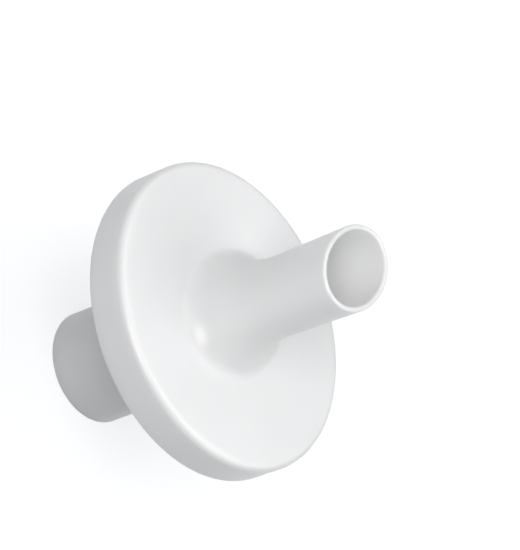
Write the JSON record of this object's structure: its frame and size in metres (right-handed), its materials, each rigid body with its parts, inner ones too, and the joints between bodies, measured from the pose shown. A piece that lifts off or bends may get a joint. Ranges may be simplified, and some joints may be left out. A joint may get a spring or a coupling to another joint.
{
  "type": "breathing circuit filter",
  "caption": "Round breathing filter housing with a flared oval mouthpiece tube on one side and a round machine port on the other, holding a nonwoven pad.",
  "frame": {"origin": "centre of the machine port's end face, which the filter stands on", "axes": "+Z along the airway from the machine port to the mouthpiece, +X along the wide way of the oval mouthpiece"},
  "size_m": [0.09, 0.09, 0.1],
  "materials": {
    "housing": "smooth moulded",
    "pad": "fine nonwoven"
  },
  "bodies": {
    "root": {"mouthpiece_housing": "housing", "machine_housing": "housing", "filter_pad": "pad"}
  },
  "joints": []
}
